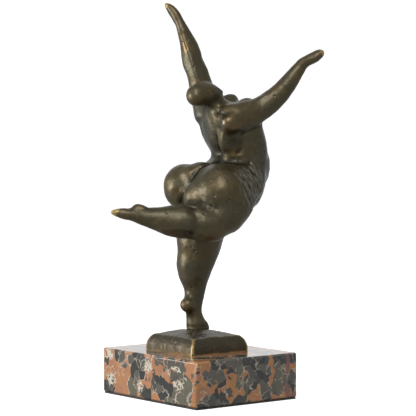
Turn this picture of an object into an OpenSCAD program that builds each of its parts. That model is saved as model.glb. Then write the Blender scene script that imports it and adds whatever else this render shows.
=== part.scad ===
// Bronze dancer on a bronze plinth and a marble block.
// The figure is cast in six sections that are doweled together.
// Row frame: origin at the centre of the felt's underside, +Z up, the dancer faces -Y.

/* [Block] */
// Width of the marble block
block_w = 100; // [80:1:140]
// Depth of the marble block
block_d = 82; // [68:1:120]
// Height of the marble block
block_h = 29; // [20:1:45]
// Bevel along the block's edges
block_bevel = 1; // [0.4:0.1:2]
// Thickness of the felt under the block
felt_t = 1; // [0.5:0.1:2]
// How far the felt stays inside the block's sides
felt_inset = 0.5; // [0:0.1:3]

/* [Plinth] */
// Width of the bronze plinth
plinth_w = 50; // [40:1:60]
// Depth of the bronze plinth
plinth_d = 46; // [38:1:56]
// Height of the bronze plinth
plinth_h = 12; // [9:0.5:16]
// How far each side curves in towards the top
plinth_lean = 3.8; // [1:0.1:4.5]
// Rise of the plinth's domed top above its arris
plinth_dome = 2.2; // [0.5:0.1:3]
// Diameter of the hollow under the plinth
plinth_hollow_d = 33; // [26:1:33]
// Thickness of the plate over that hollow
plinth_plate = 4.5; // [3:0.1:6]
// How far the plinth sits to the side of the block's centre
plinth_x = 2.5; // [-6:0.5:6]

/* [Figure] */
// Height of the figure from its sole to its highest fingertip
figure_h = 214; // [175:1:260]
// Wall of the hollow torso
wall = 5; // [3.5:0.1:6]

/* [Joints] */
// Diameter of the dowels in the two hips
hip_dowel_d = 10; // [7:0.5:12]
// How far a hip dowel reaches into each casting
hip_reach = 9; // [7:0.5:11]
// Diameter of the dowels in the neck and the shoulders
dowel_d = 4; // [3:0.1:5]
// How far a dowel reaches into each casting
dowel_reach = 8; // [5:0.5:10]
// Radial clearance of dowels and pins in their holes
fit_gap = 0.1; // [0.05:0.01:0.2]

/* [Fixings] */
// Thread diameter of the mounting stud
stud_d = 6; // [5:0.5:6.5]
// How far the stud screws up into the standing leg
stud_grip = 16; // [10:1:20]
// Diameter of the stud's hole through the marble
stud_hole_d = 7.5; // [7:0.5:10]
// Diameter of the recess under the marble
recess_d = 26; // [22:1:34]
// Depth of the recess under the marble
recess_h = 11; // [10:0.5:16]
// Outer diameter of the flat washer
washer_d = 18; // [14:0.5:20]
// Thickness of the flat washer
washer_t = 1.6; // [1:0.1:2.5]
// Thickness of the spring washer
spring_t = 1.4; // [1:0.1:2]
// Width of the nut across its flats
nut_af = 10; // [9:0.5:13]
// Height of the nut
nut_h = 5; // [4:0.1:6]
// Diameter of the two locating pins
pin_d = 3; // [2:0.1:4]
// Length of a locating pin
pin_l = 10; // [8:0.5:14]

/* [Hidden] */

bronze = "#5b5140";
steel = "#9aa0a4";
marble = "#a8795c";
dark_felt = "#22241f";

block_top = felt_t + block_h;
sole_z = block_top + plinth_h;
recess_top = felt_t + recess_h;
thread_gap = 0.05;                      // radial play between the stud and what it screws into
washer_gap = 0.6;                       // diametral play of the washers on the stud
spring_w = 2.2;                         // width of the spring washer's wire
stud_tail = 1.2;                        // the stud shows this much below the nut
plinth_corner = 1;                      // rounding of the plinth's corners
vent_at = [-10.5, -14];                 // the opening between the two hip dowels
vent_d = 8;
vent_h = 14;
pin_x = 17;                             // locating pins, from the plinth's centre
pin_y = 15;
drawn_h = 215;                          // the height at which the stations below are drawn
sunk = 1;                               // the stations start this far under the plinth's top
k = (figure_h + sunk) / drawn_h;
reach = 150 * k;                        // larger than anything that a cut divides
foot = [4, -2.5, 0];                    // the stud's place under the foot

body_x = -12;                           // the body's middle plane, from the plinth's centre
// Each station is [x, y, z, half width, half depth], from the plinth's centre near the sole.
torso_line = [
    [body_x, -12, 84.5, 14, 11], [body_x, -14, 89, 23, 19],
    [body_x, -20, 99, 25, 20], [body_x, -25, 109, 22, 17], [body_x, -25.5, 118, 21.5, 16],
    [body_x, -22, 127, 22.5, 17], [body_x, -18.5, 135, 22.5, 17], [body_x, -14.5, 142.5, 19, 14.5],
    [body_x, -13.5, 147.5, 13, 10], [body_x, -13.5, 150, 6, 5]];
raised_thigh = [
    [-18, -12, 104, 11, 13], [-22, -10, 97, 17.5, 18], [-23.5, -6, 86, 18, 18],
    [-25, -1, 77, 15, 15], [-26, 2.5, 70, 11, 11], [-26.5, 4, 65, 6, 6], [-26.5, 4, 63.5, 2, 2]];
raised_calf = [
    [-30, 0, 72, 7, 8], [-26.5, 6, 72, 11, 11.5], [-20, 17.5, 73.5, 11, 11.5],
    [-15, 27, 74, 10.5, 11], [-10.5, 35, 75, 8.5, 9], [-7, 41.5, 76.2, 6.6, 7],
    [-3.5, 48.5, 77.5, 5.2, 5.4], [0, 55, 78.6, 4.2, 4.2], [3, 60.5, 79.6, 3.2, 2.8],
    [5, 64, 80, 1.8, 1.4], [5.6, 65.2, 80, 0.6, 0.5]];
standing_line = [
    [1, -9, 90, 10, 10], [1.5, -8, 82, 16, 15], [2.5, -6, 70, 17, 16],
    [3, -4.5, 59, 15.5, 15], [4, -3.5, 51, 13.5, 13.2], [5, -2.5, 43.5, 12.3, 12.3],
    [5.3, -2, 36, 10.4, 10.4], [5, -2.2, 28, 7.4, 7.4], [5.2, -1.8, 20, 6.2, 6.2],
    [5.2, -1.6, 12.5, 5.5, 5.5], [4.4, -2.6, 6, 6.4, 6.6], [3.8, -3.6, 0, 6.8, 7.2]];
left_arm_line = [
    [2, -11, 138, 8, 8.5], [5, -12.5, 145, 9.4, 9.4], [9.4, -14, 152, 8.8, 8.8],
    [12.5, -13.3, 160, 7.8, 8], [14, -11.8, 168, 7.2, 7.5], [16.7, -9.6, 176, 6.5, 6.8],
    [18.5, -8.9, 184, 6.2, 6.4], [21, -7.4, 192, 4.8, 5], [24, -5.4, 200, 3.5, 3.6],
    [28, -3.3, 207.5, 4, 3.2], [31, -1.3, 211.5, 3.2, 2.5], [33.8, 0.8, 214.6, 1.2, 1]];
right_arm_line = [
    [-23.5, -2, 136, 7, 7.5], [-26, -8, 138.2, 9.6, 9.8], [-28.5, -16, 140.8, 9, 9.4],
    [-32.2, -25, 144.2, 8, 8.2],
    [-37.5, -33, 151, 7, 7.3], [-41.5, -37, 156.3, 6.2, 6.5], [-45, -41, 163, 5.6, 5.8],
    [-48.3, -45.3, 171, 4.2, 4.4], [-51, -47.2, 174.8, 3.7, 3.8], [-55.2, -50.8, 177.3, 4.4, 3.8],
    [-59, -54.1, 180.3, 4, 3], [-60.8, -55.7, 181.8, 2, 1.4]];
neck_line = [
    [body_x, -17, 140, 7, 6], [body_x, -11.5, 145, 6.5, 6], [body_x, -6, 149.5, 6, 5.5],
    [body_x, -1, 152.5, 5, 5]];
neck_cut = [[body_x, -7.5, 148.2], [0, 0.78, 0.63]];
left_shoulder_cut = [[9, -14, 151], [0.45, -0.1, 0.88]];
right_shoulder_cut = [[-30.5, -21.5, 142.9], [-0.36, -0.86, 0.36]];
hip_z = 86.5;                           // both legs are cut from the torso at this height
raised_hip_cut = [[-22, -9, hip_z], [0, 0, -1]];
standing_hip_cut = [[1, -10, hip_z], [0, 0, -1]];
core_low = 98;                          // the torso is hollow between these two heights
core_high = 143;

function unit(v) = v / norm(v);
function xyz(s) = [s[0], s[1], s[2]];
function placed(p) = k * p + [plinth_x, 0, sole_z - sunk];

// A curve through the stations, one span at a time
function span_point(s, i, t) =
    let (last = len(s) - 1, a = s[max(i - 1, 0)], b = s[i], c = s[i + 1], d = s[min(i + 2, last)])
    0.5 * (2 * b + (c - a) * t + (2 * a - 5 * b + 4 * c - d) * t * t
        + (3 * b - a - 3 * c + d) * t * t * t);
function smooth_line(s, steps) = [
    for (i = [0 : len(s) - 2]) for (j = [0 : steps - 1]) span_point(s, i, j / steps),
    s[len(s) - 1]];
function ring(centre, along, side, a, b, n) =
    let (u = unit(side - (side * along) * along), v = cross(along, u))
    [for (i = [0 : n - 1]) centre + a * cos(360 * i / n) * u + b * sin(360 * i / n) * v];

// A rounded limb through its stations, less a skin of the given thickness
module limb(stations, side = [1, 0, 0], steps = 4, n = 20, skin = 0) {
    s = smooth_line(stations, steps);
    last = len(s) - 1;
    points = [for (i = [0 : last])
        let (along = unit(xyz(s[min(i + 1, last)]) - xyz(s[max(i - 1, 0)])))
        each ring(placed(xyz(s[i])), along, side,
            max(k * s[i][3] - skin, 0.3), max(k * s[i][4] - skin, 0.3), n)];
    walls = [for (i = [0 : last - 1]) for (j = [0 : n - 1])
        [i * n + j, (i + 1) * n + j, (i + 1) * n + (j + 1) % n, i * n + (j + 1) % n]];
    low_cap = [for (j = [0 : n - 1]) j];
    high_cap = [for (j = [n - 1 : -1 : 0]) last * n + j];
    polyhedron(points, concat(walls, [low_cap, high_cap]), convexity = 8);
}

// A rounded mass with three half sizes
module mass(centre, half, turn = [0, 0, 0], n = 24) {
    translate(placed(centre)) rotate(turn) scale(k * half) sphere(1, $fn = n);
}

// One closed surface for masses that blend into each other; a zero keeps the size
module one_skin() {
    resize([0, 0, 0]) union() children();
}

// The direction of a cut, turned onto +Z
module on_cut(cut) {
    along = unit(cut[1]);
    translate(placed(cut[0])) rotate([0, acos(along[2]), atan2(along[1], along[0])]) children();
}

// Everything on the far side of a cut, as a large block
module beyond(cut) {
    on_cut(cut) translate([-reach, -reach, 0]) cube([2 * reach, 2 * reach, 2 * reach]);
}

// What a cut leaves on the torso, and what it takes off
module root_of(cut) {
    difference() {
        children();
        beyond(cut);
    }
}
module end_of(cut) {
    intersection() {
        children();
        beyond(cut);
    }
}

// A dowel across a cut, or its hole
module dowel(cut, play = 0, d = dowel_d, hold = dowel_reach) {
    half = hold + play;
    on_cut(cut) translate([0, 0, -half]) cylinder(d = d + 2 * play, h = 2 * half, $fn = 64);
}
module hip_dowel(cut, play = 0) {
    dowel(cut, play, hip_dowel_d, hip_reach);
}

module torso_masses() {
    limb(torso_line, n = 28);
    mass([body_x, -27.5, 108.5], [20, 18, 21]);
    mass([-2.5, -24.5, 148.8], [7, 7, 6], [-30, 15, 0], n = 18);
    mass([-20, -25, 146], [7.5, 7, 6], [-30, -15, 0], n = 18);
    mass([-5, 0, 101], [13, 11, 10]);
}
module raised_masses() {
    limb(raised_thigh, n = 24);
    limb(raised_calf, n = 22);
    mass([-22.5, -2.5, 92], [18, 17.5, 18.5]);
    mass([-16, 5.5, 90], [12, 11, 14], [0, 20, 0]);
    mass([-2.8, 49.5, 81.6], [4, 4.6, 4], [0, 0, -30], n = 16);
}
module standing_masses() {
    difference() {
        union() {
            limb(standing_line, n = 24);
            mass([7, 4, 94.5], [14, 14, 15.5], [10, 0, 0]);
            mass([5.8, 2.4, 19], [4.2, 4.2, 4.6], n = 16);
            mass([2, -6, 3.2], [5.4, 5.4, 4.2], n = 16);
        }
        translate([-reach, -reach, sole_z - reach]) cube([2 * reach, 2 * reach, reach]);
    }
}
module head_masses() {
    limb(neck_line, n = 16);
    mass([body_x, 2, 154.6], [7.6, 11.4, 8], [6, 0, 0], n = 22);
    mass([body_x, 9.5, 153.4], [7, 6.8, 7.2], n = 20);
}

// The torso's outside, with the roots of the neck and the limbs
module torso_outside() {
    torso_masses();
    root_of(raised_hip_cut) {
        raised_masses();
        standing_masses();
    }
    root_of(left_shoulder_cut) limb(left_arm_line);
    root_of(right_shoulder_cut) limb(right_arm_line);
    root_of(neck_cut) limb(neck_line, n = 16);
}

// The hollow inside the torso, with the opening in the hip joint where its core came out
module torso_core() {
    core_line = [for (s = torso_line) if (s[2] > core_low && s[2] < core_high) s];
    limb(core_line, n = 24, skin = wall);
    translate(placed([vent_at[0], vent_at[1], hip_z - vent_h]))
        cylinder(d = vent_d, h = 2 * vent_h * k, $fn = 24);
}

module torso_casting() {
    color(bronze) difference() {
        one_skin() difference() {
            torso_outside();
            torso_core();
        }
        for (cut = [raised_hip_cut, standing_hip_cut]) hip_dowel(cut, fit_gap);
        for (cut = [neck_cut, left_shoulder_cut, right_shoulder_cut]) dowel(cut, fit_gap);
    }
}

module head_casting() {
    color(bronze) difference() {
        one_skin() difference() {
            end_of(neck_cut) head_masses();
            torso_masses();
        }
        dowel(neck_cut, fit_gap);
    }
}

module arm_casting(line, cut) {
    color(bronze) difference() {
        one_skin() difference() {
            end_of(cut) limb(line);
            torso_masses();
        }
        dowel(cut, fit_gap);
    }
}
module left_arm_casting() {
    arm_casting(left_arm_line, left_shoulder_cut);
}
module right_arm_casting() {
    arm_casting(right_arm_line, right_shoulder_cut);
}

module raised_leg_casting() {
    color(bronze) difference() {
        one_skin() difference() {
            end_of(raised_hip_cut) raised_masses();
            torso_masses();
        }
        hip_dowel(raised_hip_cut, fit_gap);
    }
}

// The leg that she stands on, tapped under the foot for the stud
module standing_leg_casting() {
    color(bronze) difference() {
        one_skin() difference() {
            end_of(standing_hip_cut) standing_masses();
            torso_masses();
            raised_masses();
        }
        hip_dowel(standing_hip_cut, fit_gap);
        at_foot(sole_z - 1) cylinder(d = stud_d + 2 * thread_gap, h = stud_grip + 1, $fn = 64);
    }
}

module neck_dowel() {
    color(steel) dowel(neck_cut);
}
module left_shoulder_dowel() {
    color(steel) dowel(left_shoulder_cut);
}
module right_shoulder_dowel() {
    color(steel) dowel(right_shoulder_cut);
}
module raised_hip_dowel() {
    color(steel) hip_dowel(raised_hip_cut);
}
module standing_hip_dowel() {
    color(steel) hip_dowel(standing_hip_cut);
}

module at_foot(z) {
    translate([placed(foot)[0], placed(foot)[1], z]) children();
}
module at_pins(z) {
    for (side = [-1, 1]) translate([plinth_x + side * pin_x, side * pin_y, z]) children();
}

// A level slice through the plinth, inset from its foot
module plinth_slice(z, inset) {
    translate([plinth_x, 0, block_top + z]) linear_extrude(0.01) offset(r = plinth_corner, $fn = 24)
        square([plinth_w, plinth_d] - 2 * (inset + plinth_corner) * [1, 1], center = true);
}

module plinth_casting() {
    arris = plinth_h - plinth_dome;
    color(bronze) difference() {
        hull() {
            for (t = [0, 0.3, 0.5, 0.7, 0.85, 1]) plinth_slice(arris * t, plinth_lean * pow(t, 3));
            plinth_slice(plinth_h - 0.01, plinth_d / 2.6);
        }
        translate([plinth_x, 0, block_top - 1])
            cylinder(d = plinth_hollow_d, h = plinth_h - plinth_plate + 1, $fn = 96);
        at_foot(block_top) cylinder(d = stud_d + 2 * fit_gap, h = plinth_h + 1, $fn = 64);
        at_pins(block_top - 1) cylinder(d = pin_d + 2 * fit_gap, h = pin_l / 2 + 1 + fit_gap, $fn = 32);
    }
}

module locating_pins() {
    color(steel) at_pins(block_top - pin_l / 2) cylinder(d = pin_d, h = pin_l, $fn = 32);
}

// The block, its hole for the stud and the recess that hides the nut
module marble_block() {
    color(marble) difference() {
        translate([0, 0, felt_t + block_h / 2]) hull() {
            for (whole = [[1, 0, 0], [0, 1, 0], [0, 0, 1]])
                cube([block_w, block_d, block_h] - 2 * block_bevel * ([1, 1, 1] - whole), center = true);
        }
        at_foot(felt_t - 1) cylinder(d = stud_hole_d, h = block_h + 2, $fn = 64);
        at_foot(felt_t - 1) cylinder(d = recess_d, h = recess_h + 1, $fn = 96);
        at_pins(block_top - pin_l / 2 - fit_gap) cylinder(d = pin_d + 2 * fit_gap, h = pin_l, $fn = 32);
    }
}

// The stud runs from the nut in the recess up into the foot
module mounting_stud() {
    low = recess_top - washer_t - spring_t - nut_h - stud_tail;
    high = sole_z + stud_grip - 1;
    color(steel) at_foot(low) cylinder(d = stud_d, h = high - low, $fn = 64);
}

module washer(z, outer, inner, t) {
    at_foot(z) difference() {
        cylinder(d = outer, h = t, $fn = 64);
        translate([0, 0, -1]) cylinder(d = inner, h = t + 2, $fn = 64);
    }
}
module flat_washer() {
    color(steel) washer(recess_top - washer_t, washer_d, stud_d + washer_gap, washer_t);
}

// A single turn of square wire, split where its ends would meet
module spring_washer() {
    slit = 1.2;
    z = recess_top - washer_t - spring_t;
    color(steel) difference() {
        washer(z, stud_d + washer_gap + 2 * spring_w, stud_d + washer_gap, spring_t);
        at_foot(z - 1) translate([0, -slit / 2, 0]) cube([washer_d, slit, spring_t + 2]);
    }
}

module hex_nut() {
    z = recess_top - washer_t - spring_t - nut_h;
    color(steel) at_foot(z) difference() {
        cylinder(d = nut_af / cos(30), h = nut_h, $fn = 6);
        translate([0, 0, -1]) cylinder(d = stud_d + 2 * thread_gap, h = nut_h + 2, $fn = 64);
    }
}

module felt_sheet() {
    color(dark_felt) translate([0, 0, felt_t / 2])
        cube([block_w, block_d, felt_t] - 2 * felt_inset * [1, 1, 0], center = true);
}

torso_casting();
head_casting();
left_arm_casting();
right_arm_casting();
raised_leg_casting();
standing_leg_casting();
neck_dowel();
left_shoulder_dowel();
right_shoulder_dowel();
raised_hip_dowel();
standing_hip_dowel();
plinth_casting();
locating_pins();
marble_block();
mounting_stud();
flat_washer();
spring_washer();
hex_nut();
felt_sheet();
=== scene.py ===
import math

import bmesh
import bpy
import numpy as np
from mathutils import Euler, Matrix, Vector, noise
from mathutils.bvhtree import BVHTree


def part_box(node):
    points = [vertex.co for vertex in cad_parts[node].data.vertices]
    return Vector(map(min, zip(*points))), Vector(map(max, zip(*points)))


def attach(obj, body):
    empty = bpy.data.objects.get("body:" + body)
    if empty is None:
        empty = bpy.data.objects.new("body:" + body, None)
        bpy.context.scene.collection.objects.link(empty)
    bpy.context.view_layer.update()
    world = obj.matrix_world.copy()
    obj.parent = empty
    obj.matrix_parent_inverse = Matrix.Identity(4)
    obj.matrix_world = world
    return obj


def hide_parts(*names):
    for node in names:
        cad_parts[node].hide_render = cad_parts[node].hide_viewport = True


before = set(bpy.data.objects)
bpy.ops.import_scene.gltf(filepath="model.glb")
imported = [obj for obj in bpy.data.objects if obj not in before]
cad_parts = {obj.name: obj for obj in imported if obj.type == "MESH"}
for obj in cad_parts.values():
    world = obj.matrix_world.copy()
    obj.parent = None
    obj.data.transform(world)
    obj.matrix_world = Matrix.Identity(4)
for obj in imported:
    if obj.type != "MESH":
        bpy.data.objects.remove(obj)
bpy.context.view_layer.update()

mm = 0.001                                # the frame is in metres, and the sizes below are in millimetres


def nodeMesh(*nodes):                     # a merged copy of CAD nodes, ready to be reworked
    bm = bmesh.new()
    for node in nodes:
        bm.from_mesh(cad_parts[node].data)
    bmesh.ops.remove_doubles(bm, verts=bm.verts, dist=0.002 * mm)
    return bm


def asObject(bm, name):
    mesh = bpy.data.meshes.new(name)
    bm.to_mesh(mesh)
    bm.free()
    piece = bpy.data.objects.new(name, mesh)
    bpy.context.scene.collection.objects.link(piece)
    return piece


def smoothShade(piece):
    for face in piece.data.polygons:
        face.use_smooth = True
    return piece


def handOver(piece, slotName, *nodes):    # the piece joins the model in place of its CAD nodes
    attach(piece, "root")
    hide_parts(*nodes)
    print("made", piece.name, len(piece.data.polygons), "faces")
    return piece


def grown(bm, distance):                  # every point moves out along its normal
    bm.normal_update()
    for vert in bm.verts:
        vert.co += vert.normal * distance
    return bm


def finalMesh(piece):                     # the object's mesh with its modifiers applied, taken off the scene
    mesh = bpy.data.meshes.new_from_object(piece.evaluated_get(bpy.context.evaluated_depsgraph_get()))
    bpy.data.objects.remove(piece)
    bm = bmesh.new()
    bm.from_mesh(mesh)
    bpy.data.meshes.remove(mesh)
    return bm


def reskinned(bm, voxel):                 # one closed skin over everything that overlaps
    piece = asObject(bm, "skin")
    remesh = piece.modifiers.new("skin", "REMESH")
    remesh.mode = "VOXEL"
    remesh.voxel_size = voxel
    return finalMesh(piece)


def islandFrom(start):                    # all the points joined to this one
    found, fresh = {start}, [start]
    while fresh:
        for edge in fresh.pop().link_edges:
            for other in edge.verts:
                if other not in found:
                    found.add(other)
                    fresh.append(other)
    return found


def keepOutside(bm):                      # drops the skins of inner hollows
    outer = islandFrom(max(bm.verts, key=lambda v: v.co.z))
    bmesh.ops.delete(bm, geom=[v for v in bm.verts if v not in outer], context="VERTS")
    return bm


def relaxed(bm, times):
    for _ in range(times):
        bmesh.ops.smooth_vert(bm, verts=bm.verts, factor=0.5,
                              use_axis_x=True, use_axis_y=True, use_axis_z=True)
    return bm


def lump(bm, centre, half, turn=(0, 0, 0)):   # an ellipsoid of wax pressed onto the figure
    leaning = Euler([math.radians(angle) for angle in turn]).to_matrix().to_4x4()
    pose = Matrix.Translation(Vector(centre) * mm) @ leaning
    bmesh.ops.create_icosphere(bm, subdivisions=4, radius=1,
                               matrix=pose @ Matrix.Diagonal((*[h * mm for h in half], 1)))


# what the patina follows: how widely the skin is averaged, and the height in mm that counts as 1
wear = {"edge": (12, 0.05), "form": (150, 0.45)}
mostWear = 4


class Wax:                                # a dense skin whose points are pushed about together
    def __init__(self, bm):
        self.mesh = bpy.data.meshes.new("wax")
        bm.to_mesh(self.mesh)
        bm.free()
        self.at = np.empty(len(self.mesh.vertices) * 3)
        self.mesh.vertices.foreach_get("co", self.at)
        self.at = self.at.reshape(-1, 3)
        ends = np.empty(len(self.mesh.edges) * 2, dtype=np.int64)
        self.mesh.edges.foreach_get("vertices", ends)
        self.ends = ends.reshape(-1, 2)
        self.degree = np.bincount(ends, minlength=len(self.at)).astype(float)

    def settle(self):                     # the mesh follows the points, and gives back their normals
        self.mesh.vertices.foreach_set("co", self.at.ravel())
        self.mesh.update()
        out = np.empty(len(self.at) * 3)
        self.mesh.vertices.foreach_get("normal", out)
        return out.reshape(-1, 3)

    def averaged(self, values, times):    # each point takes the mean of its neighbours, again and again
        a, b = self.ends.T
        for _ in range(times):
            columns = [np.bincount(a, v[b], len(v)) + np.bincount(b, v[a], len(v)) for v in values.T]
            values = 0.5 * values + 0.5 * np.stack(columns, 1) / self.degree[:, None]
        return values

    def push(self, amount):
        self.at += self.settle() * amount[:, None]

    def onSkin(self, places):             # the points of the skin that lie closest to the given places
        return np.array([self.at[np.argmin(((self.at - np.array(p) * mm) ** 2).sum(1))] for p in places])

    def nearLine(self, points):           # distance from each point to a line through a few places
        best = np.full(len(self.at), np.inf)
        stops = self.onSkin(points)
        for start, end in zip(stops[:-1], stops[1:]):
            along = end - start
            share = np.clip((self.at - start) @ along / (along @ along), 0, 1)
            best = np.minimum(best, np.linalg.norm(self.at - start - share[:, None] * along, axis=1))
        return best

    def stroke(self, points, radius, height, sharp=1.5):    # height is below zero for a groove
        fall = np.clip(1 - self.nearLine(points) / (radius * mm), 0, 1)
        self.push(fall ** sharp * height * mm)

    def touch(self, centre, radius, height):          # a thumb's dent or swelling
        near = np.linalg.norm(self.at - self.onSkin([centre])[0], axis=1) / (radius * mm)
        fall = np.clip(1 - near * near, 0, 1) ** 2
        self.push(fall * height * mm)

    def facet(self, centre, toward, radius, strength=0.9):  # a knife takes off what stands beyond a plane
        centre, toward = np.array(centre) * mm, np.array(toward) / np.linalg.norm(toward)
        near = np.linalg.norm(self.at - centre, axis=1) / (radius * mm)
        fall = np.clip((1 - near) * 2.5, 0, 1)
        over = np.clip((self.at - centre) @ toward, 0, None)
        self.at -= (over * fall * strength)[:, None] * toward

    # unevenness of a given size
    def ripple(self, size, height, seed, stretch=(1, 1, 1), lean=0.0, mask=1.0):
        leaning = self.at - np.outer(self.at[:, 2] * lean, (0, 1, 0))
        places = leaning * np.array(stretch) / (size * mm) + seed * 17.3
        wave = np.array([noise.noise(p) for p in places])
        self.push(wave * height * mm * mask)

    def within(self, centre, half):       # 1 in the middle of an ellipsoid, and 0 outside it
        apart = np.linalg.norm((self.at - np.array(centre) * mm) / (np.array(half) * mm), axis=1)
        return np.clip(1.6 * (1 - apart), 0, 1)

    def keep(self, name, values):         # a number for each point, which the material reads
        layer = self.mesh.attributes.new(name, "FLOAT", "POINT")
        layer.data.foreach_set("value", values.astype(np.float32))

    def keepWear(self, bare, rubbed):     # edges, swellings and hollows, and the bare spots
        out = self.settle()
        for name, (times, height) in wear.items():
            proud = ((self.at - self.averaged(self.at, times)) * out).sum(1) / (height * mm)
            proud = np.clip(self.averaged(proud[:, None], 3)[:, 0], -mostWear, mostWear)
            self.keep(name, proud)
            if name == "edge":
                bare = bare + proud * rubbed
        self.keep("bare", bare)
        return self.mesh


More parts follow.
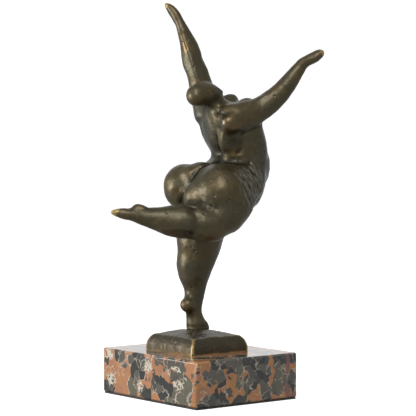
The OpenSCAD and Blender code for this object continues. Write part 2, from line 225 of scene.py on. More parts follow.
figure = {
    "castings": ["torso_casting", "head_casting", "left_arm_casting", "right_arm_casting",
                 "raised_leg_casting", "standing_leg_casting"],
    "dowels": ["neck_dowel", "left_shoulder_dowel", "right_shoulder_dowel",
               "raised_hip_dowel", "standing_hip_dowel"],
    "overlap": 0.15,                      # castings swell by this much before they fuse
    "fillet": 2.4,                        # radius of the soft hollows between the masses
    "coarse": 1.0,                        # voxel sizes
    "fine": 0.5,
    "sole": 42.02,                        # the height at which the figure stands
    # each lump: centre, half sizes, and its turn in degrees where it leans
    "lumps": [
        ((4.5, -11.5, 173), (5.5, 5.5, 15), (0, 23, 0)),            # from the left armpit down the back
        ((-19, -7.5, 180), (12, 7, 8)),                             # the right shoulder blade
        ((-19, -10.5, 170), (10, 8, 13)),
        ((1, 5, 142.5), (11, 9, 8)),                                # left buttock, towards the spine
        ((6, 5, 143.8), (10, 9, 7)),
        ((-8, 9, 130), (10, 8, 9)),                                 # right buttock, towards the left one
        ((-10, -6, 197.8), (5, 5, 4)),                              # chin
        ((5.6, 4.8, 59.2), (5.2, 5.2, 5.2)),                        # heel of the standing foot
        ((8, -4.5, 43), (8, 7, 4)),                                 # sole
    ],
    # each facet: a place on its plane, the way it faces, how far it reaches, how flat it is
    "facets": [
        ((-9.8, -6, 200.9), (-0.38, -0.49, 0.78), 9),               # brow to chin
        ((-14.3, 2, 201.2), (-0.5, 0.1, 0.86), 8, 0.7),             # side of the hair
        ((-15, 30, 107), (-0.38, 0.36, -0.85), 18),                 # underside of the raised calf
        ((1, -3.8, 174), (0.15, 0.95, -0.25), 9),                   # left of the spine
        ((-10.5, -3, 92), (-0.93, 0.25, -0.2), 13),                 # side of the standing thigh
        ((-36.5, -17, 140), (-0.97, -0.2, 0.05), 14, 0.7),          # flank
    ],
    # each touch: centre, radius, height
    "touches": [
        ((-27, -1.5, 184.5), 7, -0.9),                              # above the right shoulder
        ((-29, -1.7, 176.2), 9, 3.0),                               # knob of the right shoulder
        ((-24.2, -9.3, 165.5), 10, -2.2),                           # hollow under it
        ((-3, 47, 122.5), 4, 1.3),                                  # heel of the raised foot
        ((-33, 8, 137), 8, 0.5), ((-30, 14, 120), 9, -0.5), ((-37, 0, 118), 8, 0.4),
        ((-25, 12, 143), 7, -0.4), ((12, 16, 138), 8, 0.4), ((4, 17, 130), 6, -0.4),
        ((-31, -20, 166), 8, -0.5), ((2, 6, 92), 6, -0.4),
        ((1, 53.5, 123.5), 5, -0.9), ((1.5, 55, 112.5), 7, -0.7),   # behind the ball of the raised foot
        ((-9.5, -45.5, 146), 2.6, -1.5),                            # navel
        ((-12.4, 2.4, 203), 2.2, -0.5), ((-6.6, 2.4, 203), 2.2, -0.5),
    ],
    # each casting pore: place, radius, depth
    "pores": [
        ((-30.6, -29, 163), 1.3, -0.7), ((-31.5, -29.5, 158), 1.1, -0.7), ((-32.5, -28, 151), 1.4, -0.7),
        ((-31.8, -25, 168), 1.1, -0.6), ((-31, -27, 155), 0.9, -0.6), ((-33, -26, 146), 1.0, -0.6),
        ((-3.6, 6.2, 95), 1.4, -0.7), ((-5, 5.4, 92.5), 1.0, -0.6), ((-2, 7, 97.5), 0.9, -0.5),
        ((-20, 25, 110), 1.0, -0.6), ((-31, 12, 131), 1.0, -0.6), ((-34, 3, 129), 1.1, -0.6),
        ((-27, 17, 119), 0.9, -0.5), ((-37, -4, 126), 1.2, -0.6), ((-28, 13, 141), 0.9, -0.5),
        ((10, -4, 214), 1.0, -0.6), ((19.5, -2, 230), 0.9, -0.5), ((-40, -30, 194), 1.0, -0.6),
        ((-10, 33, 117), 0.9, -0.5), ((2, 4.5, 70), 1.0, -0.6), ((7, -30, 165), 1.1, -0.6),
        ((18, -26, 150), 1.2, -0.6), ((12, -12, 100), 1.1, -0.6), ((-2, -44, 150), 1.0, -0.6),
    ],
    # each stroke: places along it, radius, height, and how sharp it is
    "strokes": [
        # the spine, and the long muscle beside it
        ([(-13.5, -4, 168), (-12.5, -6.5, 162), (-11, -8, 157), (-12.5, -6, 152.5)], 5, -1.2, 1.6),
        ([(-11, -1.5, 185), (-14.5, -1.5, 177), (-17, -4, 167), (-15.5, -8, 160)], 4, 0.6, 1.6),
        ([(-18, -1, 184), (-22, 0, 183.5), (-26.5, 0, 183.5)], 4.2, -1.8, 1.3),  # from neck to shoulder
        ([(-22, -2, 174), (-19.5, -5, 165), (-17.5, -8.5, 158)], 4, 0.5, 1.6),
        ([(-17, -9.5, 156), (-21.5, -11.5, 156), (-25.5, -15, 156)], 4.4, 1.3, 1.8),  # above the waist
        ([(-14, -5.5, 152), (-20, -5, 151.5), (-26, -10.5, 151.5), (-29.5, -18, 151.5)], 5, -1.2, 1.7),
        ([(-30, -13, 170.5), (-32, -19.5, 173), (-30, -28, 176)], 3.2, -1.0, 1.5),  # right armpit
        ([(-10, 2, 150.5), (-8.5, 6, 148), (-7.5, 10.5, 143.5), (-7.5, 13.5, 139.5), (-5, 14, 136),
          (-1.5, 13, 131), (3, 12.5, 126)], 3, -1.7, 1.7),          # cleft of the buttocks
        ([(-22.5, 23, 123), (-27, 22, 117.5), (-26.5, 23, 111), (-22, 23.5, 106)], 4.5, -1.3, 1.2),
        ([(-14, 27, 125.5), (-18, 24, 125), (-22.5, 21, 123.5)], 2.4, -0.9, 1.6),   # calf against thigh
        ([(21.5, -3, 234), (18.5, -3.5, 227), (15.5, -5, 220), (12.5, -5.5, 211), (10, -7, 204)],
         4, 1.1, 1.5),
        ([(-4, 5, 100), (-3, 4, 88), (-1.5, 4, 78)], 5, 0.7, 1.2),  # shin ridge of the standing leg
        ([(-1.5, 7.5, 90.9), (-4, 5.5, 90.2)], 1.0, -0.6, 1.3),
        ([(-32, -17, 189.5), (-36, -25, 195)], 2.5, 0.6, 1.2),      # top of the right arm
        ([(-26.5, 13, 126.5), (-28.5, 11.5, 127), (-29.3, 10.8, 124.5), (-28.2, 11.8, 122),
          (-26.6, 13.2, 122.2), (-26.1, 13.4, 124.4), (-26.5, 13, 126.5)], 0.9, 0.4, 1.0),  # casting scar
        ([(-9.5, 3.5, 204), (-9.5, -1.5, 203.5)], 1.7, 0.9, 1.2),   # nose
        ([(-11.3, -4.6, 201.5), (-7.8, -4.6, 201.5)], 0.9, -0.35, 1.2),
        ([(4, -12, 45), (1, -8, 45), (2, -4, 45), (4, 1.5, 45), (8, 2, 45)], 1.5, -0.9, 1.3),  # over the sole
    ],
    "swell": {"size": 11, "height": 0.55, "seed": 1},
    "grain": [{"size": 4.2, "height": 0.14, "seed": 2}, {"size": 1.8, "height": 0.06, "seed": 3}],
    # the flank keeps the rasp's marks: centre, half sizes, and the ripple that makes them
    "rasped": ((-36, -16, 138), (11, 17, 25)),
    "raspMarks": {"size": 1.35, "height": 1.0, "seed": 4, "stretch": (0.6, 1, 0.28), "lean": 0.35},
    "rubbed": 0.07,                       # how readily the edges show bare metal
    # bare metal: centre and radius
    "bare": [((36.3, 0.8, 255), 5), ((-59, -56, 223.2), 5), ((8, 66, 121), 7), ((6, 61, 122.5), 3.5)],
    # painted shade, darkening the creases and hollows: centre, half sizes
    "creaseShade": [((6, -4, 43.5), (16, 14, 5)), ((-9, -4, 190), (10, 8, 5)), ((-24, -8, 165), (8, 6, 5)),
              ((-20, -1, 183.5), (7, 4, 4)), ((-16, -4, 152), (14, 8, 3)), ((-8, 11, 141), (5, 6, 9))],
    # greyer patina: centre, half sizes
    "cool": [((5, -12, 172), (26, 28, 30)), ((-10, -35, 150), (42, 24, 42)), ((8, -8, 85), (18, 14, 46))],
    # worn through to the warm under-colour: centre and radius
    "warm": [((-29, -1.7, 176), 9), ((-33, -8, 171), 6), ((-31, -17, 181), 6), ((-14, 3, 197), 6),
             ((4, 17, 133), 6), ((18, -2, 226), 6), ((-22, -11, 158), 6)],
}


def fusedFigure():
    bm = grown(nodeMesh(*figure["castings"], *figure["dowels"]), figure["overlap"] * mm)
    for shape in figure["lumps"]:
        lump(bm, *shape)
    bm = keepOutside(reskinned(bm, figure["coarse"] * mm))
    bm = keepOutside(reskinned(grown(bm, figure["fillet"] * mm), figure["coarse"] * mm))
    relaxed(bm, 2)
    bm = keepOutside(reskinned(grown(bm, -(figure["fillet"] + figure["overlap"]) * mm), figure["fine"] * mm))
    return relaxed(bm, 4)


def sculpted(bm):
    wax = Wax(bm)
    wax.ripple(**figure["swell"])
    for shape in figure["touches"]:
        wax.touch(*shape)
    for shape in figure["facets"]:
        wax.facet(*shape)
    for shape in figure["strokes"]:
        wax.stroke(*shape)
    wax.at = wax.averaged(wax.at, 8)
    for shape in figure["pores"]:
        wax.touch(*shape)
    for grain in figure["grain"]:
        wax.ripple(**grain)
    rasped = wax.within(*figure["rasped"])
    wax.ripple(**figure["raspMarks"], mask=rasped)
    wax.keep("rasped", rasped)
    # painted shade in the creases and hollows
    wax.keep("creaseShade", sum(wax.within(*spot) for spot in figure["creaseShade"]))
    wax.keep("cool", sum(wax.within(*spot) for spot in figure["cool"]))
    wax.keep("warm", sum(wax.within(centre, (radius,) * 3) for centre, radius in figure["warm"]))
    wax.at[:, 2] = np.maximum(wax.at[:, 2], figure["sole"] * mm)    # the sole is flat
    return wax


def castingShares(wax):                   # on which side of each parting line a point lies, and how far
    trees = {}
    for node in figure["castings"]:
        bm = nodeMesh(node)
        trees[node] = BVHTree.FromBMesh(bm)
        bm.free()
    far = 6 * mm
    found = {node: [tree.find_nearest(Vector(p), far)[3] for p in wax.at] for node, tree in trees.items()}
    away = {node: np.array([far if gap is None else gap for gap in gaps]) for node, gaps in found.items()}
    torso, head, leftArm, rightArm, raisedLeg, standingLeg = (away[node] for node in figure["castings"])
    shares = {"headSide": torso - head, "leftArmSide": torso - leftArm, "rightArmSide": torso - rightArm,
              "legSide": torso - np.minimum(raisedLeg, standingLeg), "raisedSide": standingLeg - raisedLeg}
    for name, share in shares.items():
        wax.keep(name, wax.averaged(share[:, None], 8)[:, 0])


# new edges run where the share is zero, and the far side comes back as its own skin
def partAlong(bm, name):
    layer = bm.verts.layers.float[name]
    seed = max(bm.verts, key=lambda v: v[layer])
    reached, fresh = {seed}, [seed]
    while fresh:                          # only the part joined to the farthest point comes away
        for edge in fresh.pop().link_edges:
            for other in edge.verts:
                if other not in reached and other[layer] > 0:
                    reached.add(other)
                    fresh.append(other)
    least = 1e-7                          # so that no share is exactly zero
    shortest = 0.08                       # no part of a cut edge is shorter than this share of it
    for vert in bm.verts:
        vert[layer] = max(vert[layer], least) if vert in reached else min(vert[layer], -least)
    crossed = [e for e in bm.edges if (e.verts[0] in reached) != (e.verts[1] in reached)]
    faces = {f for e in crossed for f in e.link_faces}
    line = set()
    for edge in crossed:
        a, b = edge.verts
        part = min(max(a[layer] / (a[layer] - b[layer]), shortest), 1 - shortest)
        line.add(bmesh.utils.edge_split(edge, a, part)[1])
    for face in faces:
        on = [v for v in face.verts if v in line]
        if len(on) == 2:
            bmesh.utils.face_split(face, on[0], on[1])
    seam = [e for e in bm.edges if e.verts[0] in line and e.verts[1] in line]
    bmesh.ops.split_edges(bm, edges=seam)
    away = islandFrom(seed)
    other = bm.copy()
    bmesh.ops.delete(bm, geom=[v for v in bm.verts if v in away], context="VERTS")
    far = islandFrom(max(other.verts, key=lambda v: v[other.verts.layers.float[name]]))
    bmesh.ops.delete(other, geom=[v for v in other.verts if v not in far], context="VERTS")
    for side in (bm, other):
        rim = [e for e in side.edges if len(e.link_faces) == 1]
        for edge in rim:
            edge.smooth = False
        cap = bmesh.ops.holes_fill(side, edges=rim, sides=0)["faces"]
        bmesh.ops.triangulate(side, faces=cap, ngon_method="BEAUTY")
    return other


fused = fusedFigure()
print("fused the figure", len(fused.verts), "points")
wax = sculpted(fused)
print("sculpted the figure")
castingShares(wax)
bareSpots = sum(wax.within(centre, (radius,) * 3) for centre, radius in figure["bare"])
torso = bmesh.new()
torso.from_mesh(wax.keepWear(bareSpots, figure["rubbed"]))
for face in torso.faces:
    face.smooth = True
skins = {"head_casting": partAlong(torso, "headSide"), "left_arm_casting": partAlong(torso, "leftArmSide"),
         "right_arm_casting": partAlong(torso, "rightArmSide"),
         "standing_leg_casting": partAlong(torso, "legSide")}
skins["raised_leg_casting"] = partAlong(skins["standing_leg_casting"], "raisedSide")
skins["torso_casting"] = torso
print("parted the castings")
castings = []
for node in figure["castings"]:
    piece = asObject(skins[node], node.replace("_", "-"))
    castings.append(handOver(piece, "figure_bronze", node))


class Value:                              # a shader socket that takes part in plain arithmetic
    def __init__(self, finish, socket):
        self.finish = finish
        self.socket = socket

    def __add__(self, other):
        return self.finish.maths("ADD", self, other)

    def __sub__(self, other):
        return self.finish.maths("SUBTRACT", self, other)

    def __rsub__(self, other):
        return self.finish.maths("SUBTRACT", other, self)

    def __mul__(self, other):
        return self.finish.maths("MULTIPLY", self, other)

    __radd__ = __add__
    __rmul__ = __mul__


class Finish:                             # one material and the nodes that it is built from
    def __init__(self, name):
        self.material = bpy.data.materials.new(name)
        self.material.use_nodes = True
        self.tree = self.material.node_tree
        self.tree.nodes.clear()
        self.out = self.tree.nodes.new("ShaderNodeOutputMaterial")

    def node(self, kind, settings=None, inputs=None, output=0):
        node = self.tree.nodes.new("ShaderNode" + kind)
        for name, value in (settings or {}).items():
            setattr(node, name, value)
        for name, value in (inputs or {}).items():
            self.feed(node.inputs[name], value)
        return Value(self, node.outputs[output])

    def feed(self, socket, value):
        if isinstance(value, Value):
            self.tree.links.new(value.socket, socket)
        elif isinstance(value, tuple) and len(value) == 3 and socket.type == "RGBA":
            socket.default_value = (*value, 1)
        else:
            socket.default_value = value

    def maths(self, operation, a, b=0.0):
        return self.node("Math", {"operation": operation}, {0: a, 1: b})

    def vector(self, operation, a, b=(0, 0, 0), output=0):
        return self.node("VectorMath", {"operation": operation}, {0: a, 1: b}, output=output)

    def place(self, scale=(1, 1, 1)):
        return self.node("Mapping", None, {"Vector": self.node("TexCoord", output="Object"), "Scale": scale})

    def band(self, value, low, high, toLow=0.0, toHigh=1.0):    # an eased step from low to high
        inputs = {"Value": value, "From Min": low, "From Max": high, "To Min": toLow, "To Max": toHigh}
        return self.node("MapRange", {"clamp": True, "interpolation_type": "SMOOTHSTEP"}, inputs)

    def blend(self, share, a, b):
        return self.node("Mix", {"data_type": "RGBA"}, {0: share, 6: a, 7: b}, output=2)

    def noise(self, where, size, detail, rough=0.5, output=0):
        inputs = {"Vector": where, "Scale": 1 / (size * mm), "Detail": detail, "Roughness": rough}
        return self.node("TexNoise", None, inputs, output=output)

    def cells(self, where, size, feature="F1", output="Distance"):
        inputs = {"Vector": where, "Scale": 1 / (size * mm)}
        return self.node("TexVoronoi", {"feature": feature}, inputs, output=output)

    def kept(self, name):                 # a number that the mesh carries at each point
        return self.node("Attribute", {"attribute_name": name}, output="Fac")

    def nearest(self, where, stones):     # distance to the closest of several stones, 1 at their edges
        best = 9.0                        # farther than any
        for centre, half in stones:
            move = tuple(-c / h for c, h in zip(centre, half))
            inside = self.node("Mapping", None, {"Vector": where, "Location": move,
                                                 "Scale": tuple(1 / (h * mm) for h in half)})
            best = self.maths("MINIMUM", best, self.vector("LENGTH", inside, output=1))
        return best

    def bent(self, where, size, amount):  # the place shifted about by a noise
        shift = self.vector("SUBTRACT", self.noise(where, size, detail=2, output=1), (0.5, 0.5, 0.5))
        return self.vector("ADD", where, self.vector("MULTIPLY", shift, (2 * amount * mm,) * 3))

    def bump(self, height, strength, distance):
        return self.node("Bump", None, {"Height": height, "Strength": strength, "Distance": distance * mm})

    def surface(self, **inputs):
        names = {name.replace(" ", ""): name for name in
                 ("Base Color", "Metallic", "Roughness", "IOR", "Normal", "Coat Weight", "Coat Roughness",
                  "Sheen Weight", "Sheen Roughness", "Emission Color", "Emission Strength")}
        shader = self.node("BsdfPrincipled", None, {names[key]: value for key, value in inputs.items()})
        self.tree.links.new(shader.socket, self.out.inputs["Surface"])
        return self.material


def paint(piece, material):
    piece.data.materials.clear()
    piece.data.materials.append(material)


bronzeTones = {
    "dark": (0.016, 0.0145, 0.0095),      # in the hollows and pits, and the painted shade in the creases
    "olive": (0.083, 0.0695, 0.037),
    "brown": (0.112, 0.082, 0.038),
    "slate": (0.074, 0.072, 0.058),
    "rust": (0.155, 0.09, 0.03),          # thin patina on the high places
    "wax": (0.2, 0.2, 0.18),              # pale wax left in the scratches
    "gold": (0.46, 0.32, 0.12),           # bare metal
}
plinthTones = {**bronzeTones, "olive": (0.072, 0.06, 0.036), "brown": (0.105, 0.074, 0.038)}
patina = {
    "cloud": 16,                          # sizes of the broad clouds, the mottling, the specks and the pits
    "mottle": 3.2,
    "speck": 0.9,
    "pit": 2.7,
    "relief": 0.15,                       # depth of the grain
    "gloss": (0.44, 0.54),                # roughness, from the smoothest mottles to the dullest
    "warmGloss": 0.16,                    # how much smoother the worn places are
}


def bronzeFinish(name, tones):
    f = Finish(name)
    where = f.place()
    edge, form, bare = f.kept("edge"), f.kept("form"), f.kept("bare")
    creaseShade, rasped, warm = f.kept("creaseShade"), f.kept("rasped"), f.kept("warm")
    cloud = f.noise(where, patina["cloud"], detail=3)
    mottle = f.noise(where, patina["mottle"], detail=6, rough=0.65)
    speck = f.noise(where, patina["speck"], detail=3, rough=0.6)
    tone = f.blend(f.band(cloud + (mottle - 0.5) * 0.5, 0.42, 0.68), tones["olive"], tones["brown"])
    tone = f.blend(f.band(f.kept("cool") + (cloud - 0.5) * 1.5, 0.1, 1.0, 0, 0.85), tone, tones["slate"])
    tone = f.blend(f.band(form + (cloud - 0.5) * 2.2, 0.9, 2.8, 0, 0.4), tone, tones["rust"])
    tone = f.blend(f.band(warm + (mottle - 0.5) * 2, 0.2, 1.1, 0, 0.5), tone, tones["rust"])
    hollow = f.band(form + edge * 0.35 + (mottle - 0.5) * 0.8, -0.3, -2.0, 0, 0.85)
    tone = f.blend(hollow, tone, tones["dark"])
    # painted shade: the listed creases and hollows are darkened
    tone = f.blend(f.band(creaseShade - edge * 0.15 + (mottle - 0.5) * 1.8, 0.2, 1.3, 0, 0.6), tone, tones["dark"])
    tone = f.blend(f.band(speck + (mottle - 0.5) * 0.6 + edge * 0.05, 0.62, 0.78, 0, 0.3), tone, tones["wax"])
    tone = f.blend(f.band(rasped * (edge + speck * 2), 0.3, 1.6, 0, 0.55), tone, tones["wax"])
    tone = f.blend(f.band(bare + (mottle - 0.5) * 0.5, 0.3, 0.75, 0, 0.85), tone, tones["gold"])
    pits = f.cells(where, patina["pit"])
    chosen = f.band(f.cells(where, patina["pit"], output="Color"), 0.46, 0.5)
    pit = f.band(pits + (speck - 0.5) * 0.3, 0.17, 0.07) * chosen
    tone = f.blend(pit * 0.85, tone, tones["dark"])
    rough = f.band(mottle, 0.3, 0.7, *patina["gloss"]) - f.band(warm, 0.2, 1.0, 0, patina["warmGloss"])
    relief = f.bump(mottle * 0.6 + speck * 0.25 - pit * 0.9, 0.45, patina["relief"])
    return f.surface(BaseColor=tone, Metallic=0.8, Roughness=rough, Normal=relief,
                     CoatWeight=0.2, CoatRoughness=0.26)


marble = {
    "warp": [(7, 3.2), (1.6, 0.7)],       # the pattern is bent at two sizes: size, how far
    "grain": 1.4,
    "patch": 8,
    "chip": 6,                            # size of the angular chips
    "smallStone": 5,
    "largeStone": 11,
    "crack": 3.2,                         # size of the net inside the cream spots
    "speck": 3,
    "gloss": 0.07,
    "ochreEnd": (-0.045, -0.051),         # across the block in m, where the ground turns from salmon to ochre
    "salmon": (0.42, 0.195, 0.09),
    "ochre": (0.4, 0.18, 0.058),
    "slate": (0.038, 0.038, 0.035),
    "grey": (0.105, 0.095, 0.076),
    "moss": (0.14, 0.122, 0.08),
    "soot": (0.03, 0.03, 0.03),
    "cream": (0.6, 0.53, 0.43),
    "mauve": (0.188, 0.091, 0.091),
    # each stone: centre, half sizes
    "greyStones": [
        ((12, 41, 25), (7.5, 8, 5.5)), ((14, 41, 19), (4.5, 8, 6)), ((24.5, 41, 22), (4, 8, 2)),
        ((0, 41, 23.8), (2.5, 4, 3)), ((-12, 41, 12), (8, 8, 4.5)), ((-17, 41, 9.5), (8, 8, 5)),
        ((43, 41, 3), (6, 6, 4)), ((41, 41, 10), (3, 5, 3)), ((46, 41, 24), (2.5, 5, 3.5)),
        ((31, 41, 27), (4, 5, 3)), ((-50, -9, 21), (8, 9, 9.5)), ((-50, -14, 8), (8, 4.5, 5)),
        ((-50, 21.6, 18), (6, 3.5, 4.5)), ((-50, 27.5, 25.5), (6, 4.5, 5)), ((-50, 8.5, 28), (6, 9, 2.5)),
        ((-50, 25.9, 6.6), (5, 1.8, 3.5)), ((-50, 21.3, 7), (5, 1.8, 3.5)), ((-50, 7.5, 3.2), (6, 5, 3.5)),
        ((-50, 15.2, 11), (5, 3, 2.5)), ((-50, 33.4, 3), (6, 6, 4)), ((-50, -36, 12), (6, 4, 6)),
        ((20, -41, 18), (9, 8, 7)), ((-22, -41, 12), (11, 9, 7)), ((50, 12, 19), (8, 10, 7)),
        ((50, -20, 9), (8, 8, 6)), ((36, -41, 8), (6, 8, 5)), ((-2, -41, 26), (6, 5, 4)),
        ((50, 31, 7), (7, 5, 5)), ((28, 24, 30), (8, 6, 6)), ((-34, -24, 30), (9, 7, 6)),
        ((30, -22, 30), (7, 9, 6)), ((-36, 26, 30), (5, 7, 3)),
    ],
    "mossStones": [
        ((16, 41, 9), (6, 8, 7)), ((-37, 41, 12), (9, 7, 6)), ((-30, 41, 5), (14, 8, 4.5)),
        ((-50, -26.3, 14), (6, 4.5, 9)), ((-50, 7, 18), (6, 3, 7)), ((4, -41, 10), (8, 7, 6)),
        ((50, -2, 26), (6, 6, 4)),
    ],
    "creamSpots": [
        ((-30, 41, 23), (6, 6, 2.5)), ((-32, 41, 14), (7, 6, 3.5)), ((0, 41, 22), (5, 6, 5)),
        ((44, 41, 26), (6, 6, 4)), ((40, 41, 10), (6, 6, 5)), ((8, 41, 8), (3, 6, 5)),
        ((10, -41, 20), (6, 6, 4)), ((50, 24, 20), (6, 6, 4)),
    ],
    "mauveVeins": [((-50, -33, 17), (8, 2.2, 22)), ((-50, -39, 3), (8, 5, 3))],
}


def marbleFinish():
    f = Finish("brecciaMarble")
    where = f.place()
    for size, amount in marble["warp"]:
        where = f.bent(where, size, amount)
    fine, patch = f.noise(where, marble["grain"], detail=3), f.noise(where, marble["patch"], detail=3)
    middle = f.cells(where, marble["chip"], output="Position")
    half = (0.5, 0.5, 0.5)                # halfway to the middle of its chip, so that stones are angular
    angular = f.vector("ADD", f.vector("MULTIPLY", where, half), f.vector("MULTIPLY", middle, half))
    across = f.vector("DOT_PRODUCT", where, (1, 0, 0), output=1)
    toOchre = f.band(across + (patch - 0.5) * 0.02, *marble["ochreEnd"])
    tone = f.blend(toOchre, marble["salmon"], marble["ochre"])
    tone = f.blend(f.band(patch + (fine - 0.5) * 0.6, 0.35, 0.7, 0, 0.3), tone, marble["mauve"])
    stones = f.nearest(angular, marble["greyStones"])
    mossy = f.nearest(angular, marble["mossStones"])
    shade = f.cells(where, marble["chip"], output="Color")
    stone = f.blend(f.band(shade + (fine - 0.5) * 0.5, 0.25, 0.8), marble["slate"], marble["grey"])
    size = marble["smallStone"]
    small = f.band(f.cells(where, size), 0.5, 0.45) * f.band(f.cells(where, size, output="Color"), 0.55, 0.58)
    depth = f.vector("DOT_PRODUCT", where, (0, 1, 0), output=1)
    plain = 1 - f.band(across, 0.01, 0.018) * f.band(depth, 0.034, 0.038)   # few stones in that corner
    tone = f.blend(small * plain * f.band(patch, 0.44, 0.5), tone, stone)
    size = marble["largeStone"]
    large = f.band(f.cells(where, size), 0.56, 0.54) * f.band(f.cells(where, size, output="Color"), 0.5, 0.53)
    tone = f.blend(large * plain, tone, stone)
    tone = f.blend(f.band(f.nearest(where, marble["mauveVeins"]), 1.05, 0.9, 0, 0.85), tone, marble["mauve"])
    tone = f.blend(f.band(mossy, 1.2, 1.15), tone, f.blend(shade * 0.6, marble["moss"], stone))
    tone = f.blend(f.band(stones, 1.2, 1.15), tone, stone)
    closest = f.maths("MINIMUM", stones, mossy)
    rim = f.band(f.maths("ABSOLUTE", closest - 1.19), 0.06, 0.02)
    rim = rim * f.band(f.noise(where, 5, detail=2), 0.46, 0.56)
    web = f.band(f.cells(where, marble["chip"], "DISTANCE_TO_EDGE"), 0.05, 0.015)
    web = web * f.band(f.noise(where, 10, detail=2), 0.48, 0.58)
    tone = f.blend(f.maths("MAXIMUM", rim, web) * (0.75 - toOchre * 0.4), tone, marble["cream"])
    spots = f.band(f.nearest(where, marble["creamSpots"]) + (fine - 0.5) * 1.6, 0.95, 0.7)
    cracks = f.band(f.cells(where, marble["crack"], "DISTANCE_TO_EDGE"), 0.22, 0.08)
    tone = f.blend(spots * cracks, tone, marble["cream"])
    size = marble["speck"]
    speck = f.band(f.cells(where, size), 0.2, 0.14) * f.band(f.cells(where, size, output="Color"), 0.62, 0.65)
    tone = f.blend(speck * 0.85, tone, marble["soot"])
    return f.surface(BaseColor=tone, Roughness=marble["gloss"], IOR=1.6)


baize = {"fuzz": 0.5, "deep": (0.012, 0.013, 0.012), "pale": (0.03, 0.031, 0.029)}


def feltFinish():
    f = Finish("baizeFelt")
    fuzz = f.noise(f.place(), baize["fuzz"], detail=3)
    tone = f.blend(fuzz, baize["deep"], baize["pale"])
    return f.surface(BaseColor=tone, Roughness=0.95, SheenWeight=0.25, Normal=f.bump(fuzz, 0.5, 0.15))


turned = {"rings": 0.3, "stretch": (0.15, 0.15, 1), "gloss": (0.25, 0.42),
          "dull": (0.42, 0.41, 0.39), "bright": (0.56, 0.55, 0.53)}


def steelFinish():
    f = Finish("turnedSteel")
    rings = f.noise(f.place(turned["stretch"]), turned["rings"], detail=3)
    tone = f.blend(rings, turned["dull"], turned["bright"])
    return f.surface(BaseColor=tone, Metallic=1.0, Roughness=f.band(rings, 0.3, 0.7, *turned["gloss"]))


plinth = {
    "centre": (2.5, 0),
    "foot": ((8, -4.5, 42), (11, 10, 8)),  # where the figure stands: centre, half sizes
    "hollow": 17.5,                       # radius of the hollow underneath
    "seat": 30.4,                         # the height at which it sits on the block
    "shoulder": 37,                       # the top lies above this height
    "voxel": 0.5,
    "mound": (24, 1.3),                   # how far the top's swelling reaches, and how high it is
    "ripples": [{"size": 9, "height": 0.28, "seed": 5}, {"size": 2.6, "height": 0.14, "seed": 6}],
    "rubbed": 0.26,                       # how readily the edges show bare metal
    # each tool mark on the top: places along it, radius, height
    "marks": [
        ([(-16, 9, 41), (-11, 11, 41.5), (-7, 8, 41.5)], 1.0, -0.5),
        ([(-14, 5, 41), (-10, 8, 41.5)], 0.8, -0.5),
        ([(-9, 13, 41), (-5, 9, 41.5), (-4, 13, 41.5)], 0.9, -0.5),
        ([(-6, 4, 41.5), (-3, 7, 41.5)], 0.9, -0.45),
        ([(-12, -6, 41.5), (-6, -12, 41.5)], 0.9, -0.4),
        ([(-13, -10, 41), (-8, -15, 41)], 1.0, -0.4),
    ],
    # each dent: centre, radius, height
    "dents": [((-20.5, 12, 33), 1.0, -0.5), ((-4, 22, 36), 1.2, -0.5), ((9, 22.5, 32.5), 1.0, -0.5),
              ((-21, -9, 37), 1.3, -0.4), ((-21.5, 3, 32), 1.1, -0.4), ((15, 22, 38), 0.9, -0.4)],
}


def makePlinth():
    wax = Wax(relaxed(reskinned(nodeMesh("plinth_casting"), plinth["voxel"] * mm), 2))
    out = wax.settle()
    fromAxis = wax.at[:, :2] - np.array(plinth["centre"]) * mm
    reach = np.linalg.norm(fromAxis, axis=1)
    onSide = (reach > (plinth["hollow"] + 1) * mm) * ((out[:, :2] * fromAxis).sum(1) > 0.2 * reach)
    faceUp = out[:, 2] > 0.5
    onTop = faceUp * (wax.at[:, 2] > plinth["shoulder"] * mm)
    outside = np.clip(onSide + onTop, 0, 1) * np.clip((wax.at[:, 2] / mm - plinth["seat"]) / 2, 0, 1)
    outside = wax.averaged(outside.astype(float)[:, None], 3)[:, 0]
    clear = 1 - wax.within(*plinth["foot"])
    width, height = plinth["mound"]
    swell = np.clip(1 - (reach / (width * mm)) ** 2, 0, 1) * height * mm
    wax.at[:, 2] += swell * faceUp * outside * clear
    for ripple in plinth["ripples"]:
        wax.ripple(**ripple, mask=outside * clear)
    for places, radius, height in plinth["marks"]:
        wax.stroke(places, radius, height)
    for dent in plinth["dents"]:
        wax.touch(*dent)
    bm = bmesh.new()
    bm.from_mesh(wax.keepWear(outside * 0, plinth["rubbed"]))
    return handOver(smoothShade(asObject(bm, "plinth")), "plinth_bronze", "plinth_casting")


block = {
    "eased": 0.3,                         # the arrises are rounded by this much
    "longEdge": 20,                       # an edge of the block itself is longer than this
    "outside": 45,                        # and reaches farther out than this
    "smallFace": 80,                      # faces under this many square mm are shaded smooth
}


def makeBlock():
    bm = nodeMesh("marble_block")
    bmesh.ops.dissolve_limit(bm, angle_limit=math.radians(1), verts=bm.verts, edges=bm.edges)
    outer = [e for e in bm.edges if e.calc_length() > block["longEdge"] * mm and e.calc_face_angle(0) > 0.3
             and max(abs(v.co.x) for v in e.verts) > block["outside"] * mm]
    bmesh.ops.bevel(bm, geom=outer, offset=block["eased"] * mm, affect="EDGES", segments=3,
                    profile=0.5, material=-1)
    for face in bm.faces:
        face.smooth = face.calc_area() < block["smallFace"] * mm * mm
    return handOver(asObject(bm, "block"), "breccia_marble", "marble_block")


feltSheet = {"corner": 1, "rim": 0.25}    # how far its corners and its rims are rounded


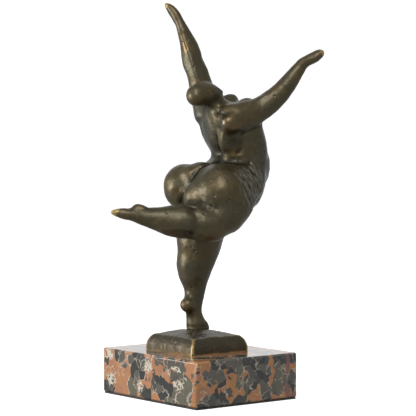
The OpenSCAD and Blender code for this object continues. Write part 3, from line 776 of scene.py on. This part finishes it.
def makeFelt():
    low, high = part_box("felt_sheet")
    bm = bmesh.new()
    middle, size = (Vector(low) + Vector(high)) / 2, Vector(high) - Vector(low)
    bmesh.ops.create_cube(bm, size=1, matrix=Matrix.Translation(middle) @ Matrix.Diagonal((*size, 1)))
    upright = [e for e in bm.edges if abs(e.verts[0].co.z - e.verts[1].co.z) > 0.5 * mm]
    bmesh.ops.bevel(bm, geom=upright, offset=feltSheet["corner"] * mm, affect="EDGES", segments=4,
                    profile=0.5, material=-1)
    rims = [e for e in bm.edges if abs(e.verts[0].co.z - e.verts[1].co.z) < 0.1 * mm]
    bmesh.ops.bevel(bm, geom=rims, offset=feltSheet["rim"] * mm, affect="EDGES", segments=2,
                    profile=0.5, material=-1)
    felt = handOver(smoothShade(asObject(bm, "felt")), "felt", "felt_sheet")
    return felt


bronze = bronzeFinish("patinatedBronze", bronzeTones)
for piece in castings:
    paint(piece, bronze)
paint(makePlinth(), bronzeFinish("plinthBronze", plinthTones))
paint(makeBlock(), marbleFinish())
paint(makeFelt(), feltFinish())
steel = steelFinish()
for node in [*figure["dowels"], "locating_pins", "mounting_stud", "flat_washer", "spring_washer", "hex_nut"]:
    paint(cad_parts[node], steel)
print("painted every piece")

camera = {
    "azimuth": 231.8,                     # degrees round from the front, and up from level
    "elevation": 2.86,
    "distance": 1292,
    "lens": 173.08,
    "sensor": 36,
    "aimHeight": 122,
    "aimSide": 5.8,
}


def addCamera():
    turn, tilt = math.radians(camera["azimuth"]), math.radians(camera["elevation"])
    back = Vector((math.sin(turn) * math.cos(tilt), -math.cos(turn) * math.cos(tilt), math.sin(tilt)))
    side = Vector((math.cos(turn), math.sin(turn), 0))
    aim = Vector((0, 0, camera["aimHeight"])) + side * camera["aimSide"]
    data = bpy.data.cameras.new("camera")
    data.lens = camera["lens"]
    data.sensor_width = camera["sensor"]
    data.clip_start = 0.05
    data.clip_end = 20
    eye = bpy.data.objects.new("camera", data)
    bpy.context.scene.collection.objects.link(eye)
    eye.location = (aim + back * camera["distance"]) * mm
    eye.rotation_euler = back.to_track_quat("Z", "Y").to_euler()
    bpy.context.scene.camera = eye
    print("set up the camera")
    return back, side


towardCamera, cameraRight = addCamera()

studio = {
    "air": (0.97, 1, 1.01),
    "room": 0.42,                         # strength of the even light in the room
    "paper": 0.66,                        # the white sweep glows a little, so that it stays white
    "sweep": (4, 6),                      # radius and height of the paper, in m
    "aim": 0.14,                          # the height that the lights point at, in m
    # each light: to the side of the camera's line, height, toward the camera, size (all in m), power in W
    "lights": {
        "key": (-0.2, 0.95, 0.95, 0.6, 8.5),
        "side": (-1.1, 0.2, 0.14, 0.5, 8.5),
        "back": (0, 0.45, -1.5, 1.9, 7.5),
    },
}


def addStudio():
    world = bpy.data.worlds.new("studio")
    world.use_nodes = True
    world.node_tree.nodes["Background"].inputs["Color"].default_value = (*studio["air"], 1)
    world.node_tree.nodes["Background"].inputs["Strength"].default_value = studio["room"]
    bpy.context.scene.world = world
    f = Finish("whitePaper")
    paper = f.surface(BaseColor=(0.85, 0.85, 0.85), Roughness=0.9,
                      EmissionColor=(1, 1, 1), EmissionStrength=studio["paper"])
    bm = bmesh.new()
    radius, height = studio["sweep"]
    bmesh.ops.create_cone(bm, cap_ends=True, segments=64, radius1=radius, radius2=radius, depth=height,
                          matrix=Matrix.Translation((0, 0, height / 2)))
    bmesh.ops.reverse_faces(bm, faces=bm.faces)
    room = asObject(bm, "paperSweep")
    paint(room, paper)
    for ray in ("visible_diffuse", "visible_glossy", "visible_transmission", "visible_shadow"):
        setattr(room, ray, False)
    for name, (side, height, toward, size, power) in studio["lights"].items():
        light = bpy.data.lights.new(name, "AREA")
        light.size = size
        light.energy = power
        lamp = bpy.data.objects.new(name, light)
        bpy.context.scene.collection.objects.link(lamp)
        flat = Vector((towardCamera.x, towardCamera.y, 0)).normalized()
        lamp.location = cameraRight * side + flat * toward + Vector((0, 0, height))
        away = lamp.location - Vector((0, 0, studio["aim"]))
        lamp.rotation_euler = away.to_track_quat("Z", "Y").to_euler()


addStudio()
print("set up the studio")
bpy.context.scene.view_settings.view_transform = "Standard"
